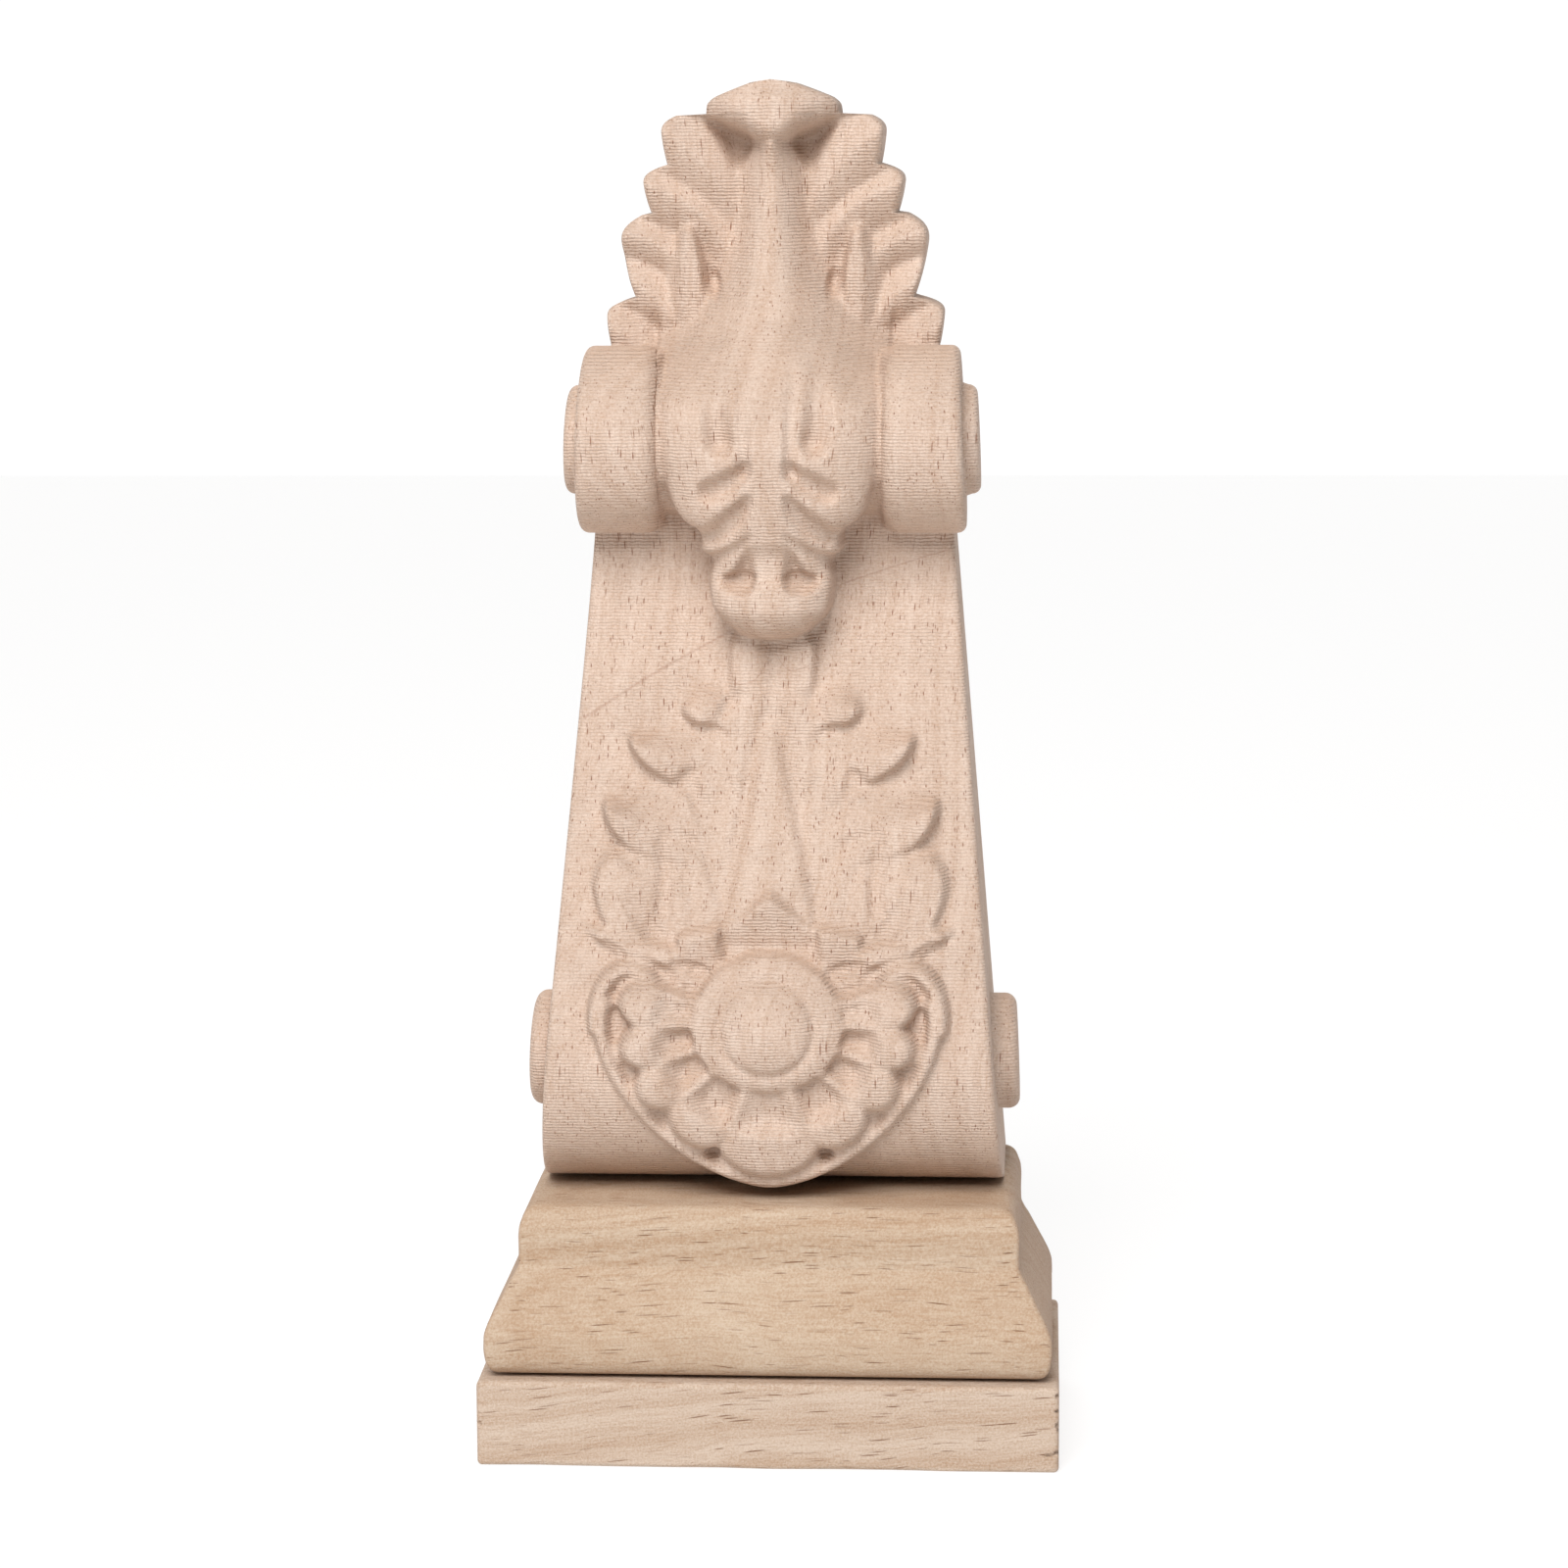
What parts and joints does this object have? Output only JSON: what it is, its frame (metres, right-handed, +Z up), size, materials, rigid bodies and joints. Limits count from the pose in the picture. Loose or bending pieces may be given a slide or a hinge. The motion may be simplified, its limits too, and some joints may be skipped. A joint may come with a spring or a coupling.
{
  "type": "carved corbel",
  "caption": "Carved wooden corbel with scrolls at both ends, an acanthus crest and relief, a shell rosette, and a moulded foot on a plain slab.",
  "frame": {"origin": "on the flat back, on the middle line and half way up the 200 mm height, where the corbel meets the wall", "axes": "+Z up as pictured, from the slab to the leaf tip; -Y out of the wall, the way the carving faces; +X to the right, seen from the front"},
  "size_m": [0.085, 0.046, 0.2],
  "materials": {
    "carved_wood": "bare rubberwood, grain upright, milled and lightly sanded",
    "moulding_wood": "bare rubberwood, grain across, moulded with a router",
    "slab_wood": "bare rubberwood, grain across, planed"
  },
  "bodies": {
    "root": {"scroll_body": "carved_wood", "ogee_moulding": "moulding_wood", "base_slab": "slab_wood"}
  },
  "joints": []
}
